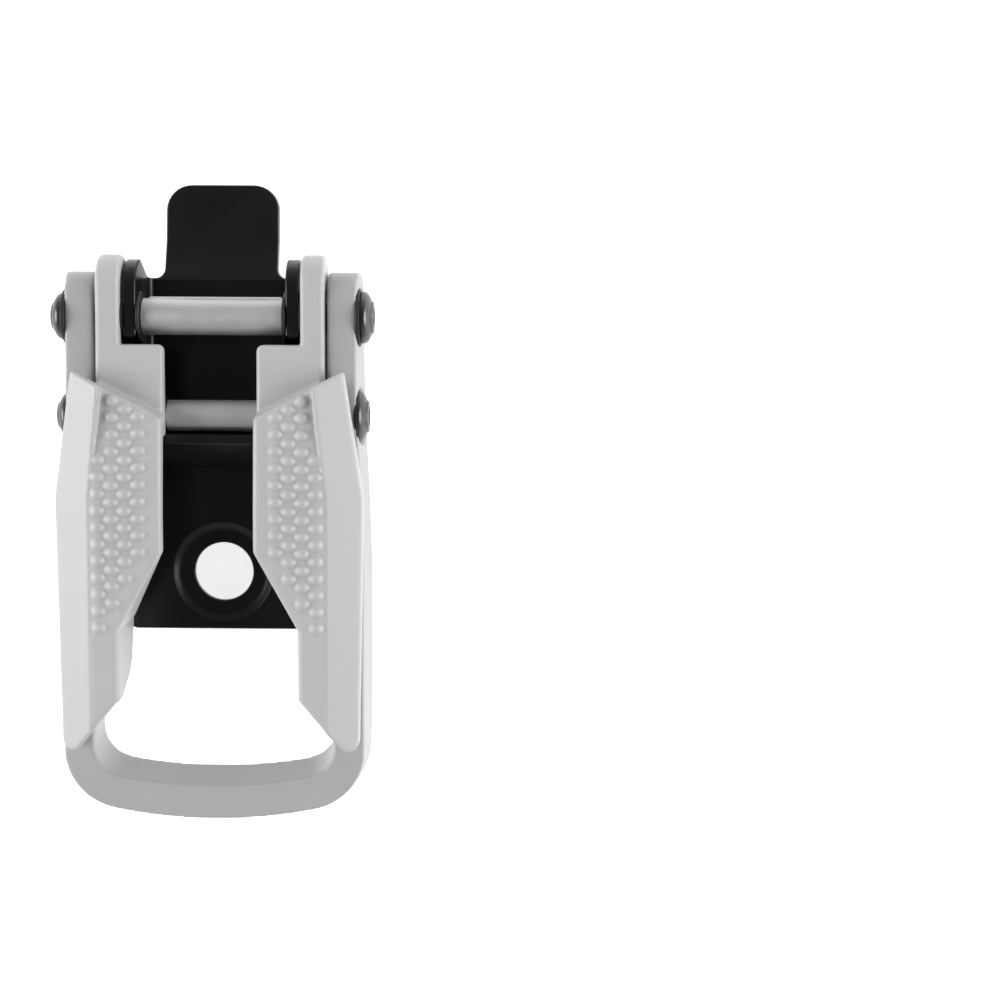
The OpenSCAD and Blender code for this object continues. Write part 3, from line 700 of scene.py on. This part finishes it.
def head(x, side, radius):
    """Formed head: a low dome with a shoulder, a ring and a dimple, standing on x and facing outwards."""
    profile = [(-0.3, 0), (-0.3, radius - 0.4), (0, radius), (0.45, radius), (0.7, radius * 0.97),
               (1.05, radius * 0.88), (1.3, radius * 0.76), (1.42, radius * 0.7), (1.42, radius * 0.66),
               (HEAD_H, radius * 0.58), (HEAD_H, radius * 0.4), (HEAD_H - 0.45, radius * 0.27),
               (HEAD_H - 0.5, 0)]
    return [(x + side * step, r) for step, r in profile]


drum_head_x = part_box("drum_axle")[1].x / MM - HEAD_H
cap_x = -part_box("drum_axle_cap")[0].x / MM - HEAD_H
shaft = worked(rod(-drum_head_x - 0.9, drum_head_x + 0.2, AXLE_R, axle),
               ("BOOLEAN", FUSE, turned(head(drum_head_x, 1, HEAD_R), axle)))
finished(edged(shaft, HEAD_EDGE), "drum_shaft", "wings", "dark_nickel", dark_nickel, "drum_axle", flats=True)
finished(edged(turned(head(-cap_x, -1, CAP_R), axle), HEAD_EDGE), "drum_shaft_cap", "wings",
         "dark_nickel", dark_nickel, "drum_axle_cap", flats=True)
shaft = worked(rod(-arm_out - 0.9, arm_out + 0.2, PIN_R, pawl_pin),
               ("BOOLEAN", FUSE, turned(head(arm_out, 1, HEAD_R), pawl_pin)))
finished(edged(shaft, HEAD_EDGE), "pawl_pin", "release", "dark_nickel", dark_nickel, "pawl_axle", flats=True)
finished(edged(turned(head(-arm_out, -1, CAP_R), pawl_pin), HEAD_EDGE), "pawl_pin_cap", "release",
         "dark_nickel", dark_nickel, "pawl_axle_cap", flats=True)

sleeve_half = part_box("pawl_sleeve")[1].x / MM
sleeve = turned([(-sleeve_half, PIN_R + RUNNING), (-sleeve_half, SLEEVE_R), (sleeve_half, SLEEVE_R),
                 (sleeve_half, PIN_R + RUNNING)], pawl_pin)
finished(edged(sleeve, 0.15), "pin_sleeve", "release", "satin_nickel", satin_nickel, "pawl_sleeve",
         flats=True)

drum_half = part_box("drive_drum")[1].x / MM
drum = rod(-drum_half, drum_half, DRUM_R, axle)
for turn in TOOTH_TURNS:
    tooth = prism([(-0.5, 0.8 - DRUM_R), (-0.3, -DRUM_R - 0.9), (0, -DRUM_R - 0.9), (0.6, 0.8 - DRUM_R)],
                  -TOOTH_HALF, TOOTH_HALF, "X")
    bmesh.ops.rotate(tooth, verts=tooth.verts, cent=(0, 0, 0),
                     matrix=Matrix.Rotation(math.radians(turn), 3, "X"))
    bmesh.ops.translate(tooth, verts=tooth.verts, vec=(0, axle[0], axle[1]))
    drum = worked(drum, ("BOOLEAN", FUSE, tooth))
finished(edged(drum, 0.12), "toothed_drum", "wings", "satin_nickel", satin_nickel, "drive_drum", flats=True)


# ---- Holding pawl and its springs ----
# A black coated steel plate with two ears that hang on the pin, pressed down on the ladder by a
# torsion spring of drawn wire on each side.

PAWL_LEN = 8.2
PAWL_EAR_T = 1.6
PAWL_HUB_R = 3.1
PAWL_TIP_Z = 2.3
WIRE_R = 0.3
COIL_R = 2.35
COIL_TURNS = 2.5
COIL_STEPS = 36

pawl_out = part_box("holding_pawl")[1].x / MM
pawl_in = pawl_out - PAWL_EAR_T
root = pawl_pin[0] - SLEEVE_R - 0.3
plate_side = [(root, pawl_pin[1] + 1.9), (root, pawl_pin[1] - 0.4),
              (pawl_pin[0] - PAWL_LEN + 0.6, PAWL_TIP_Z),
              (pawl_pin[0] - PAWL_LEN, PAWL_TIP_Z), (pawl_pin[0] - PAWL_LEN - 0.2, PAWL_TIP_Z + 1.2),
              (root - 1.5, pawl_pin[1] + 2.3)]
pawl = prism(plate_side, -pawl_out, pawl_out, "X")
ear_side = [(pawl_pin[0] - SLEEVE_R - 1, pawl_pin[1] - 1.2), (pawl_pin[0], pawl_pin[1] - 1.2),
            (pawl_pin[0], pawl_pin[1] + 1.8), (pawl_pin[0] - SLEEVE_R - 1, pawl_pin[1] + 1.8)]
for x in (-pawl_out, pawl_in):
    pawl = worked(pawl, ("BOOLEAN", FUSE, rod(x, x + PAWL_EAR_T, PAWL_HUB_R, pawl_pin)),
                  ("BOOLEAN", FUSE, prism(ear_side, x, x + PAWL_EAR_T, "X")))
pawl = worked(pawl, ("BOOLEAN", CUT, rod(-20, 20, PIN_R + 0.04, pawl_pin)))
finished(edged(pawl, 0.2), "pawl_plate", "pawl", "black_steel", black_coat, "holding_pawl", flats=True)

# Drawn spring steel: bright, with faint lines along the wire.
spring_wire = plated("drawn_spring_steel", "#a3a3a1", "#868684", 0.35, 0.4)

coil_in = pawl_out + WIRE_R + 0.1
coil_pitch = (half_in - 0.2 - WIRE_R - coil_in) / COIL_TURNS
for side, word in ((1, "right"), (-1, "left")):
    route = [(coil_in - 0.1, pawl_pin[0] - COIL_R - 3.6, pawl_pin[1] - 0.3),
             (coil_in - 0.05, pawl_pin[0] - COIL_R - 1.2, pawl_pin[1] - 0.9)]
    for i in range(int(COIL_TURNS * COIL_STEPS) + 1):
        turn = math.pi - 2 * math.pi * i / COIL_STEPS
        route.append((coil_in + coil_pitch * i / COIL_STEPS, pawl_pin[0] + COIL_R * math.cos(turn),
                      pawl_pin[1] + COIL_R * math.sin(turn)))
    route.append((route[-1][0], pawl_pin[0] + COIL_R + 0.1, pawl_pin[1] + 1.6))
    wire = bpy.data.curves.new("wire", "CURVE")
    wire.dimensions = "3D"
    wire.bevel_depth = WIRE_R
    wire.bevel_resolution = 3
    wire.use_fill_caps = True
    line = wire.splines.new("POLY")
    line.points.add(len(route) - 1)
    for point, (x, y, z) in zip(line.points, route):
        point.co = (side * x, y, z, 1)
    drawn = bpy.data.objects.new("wire", wire)
    spring = bmesh.new()
    mesh = drawn.to_mesh()
    spring.from_mesh(mesh)
    bpy.data.objects.remove(drawn)
    finished(spring, "torsion_spring_" + word, "release", "spring_steel", spring_wire, "pawl_spring_" + word)
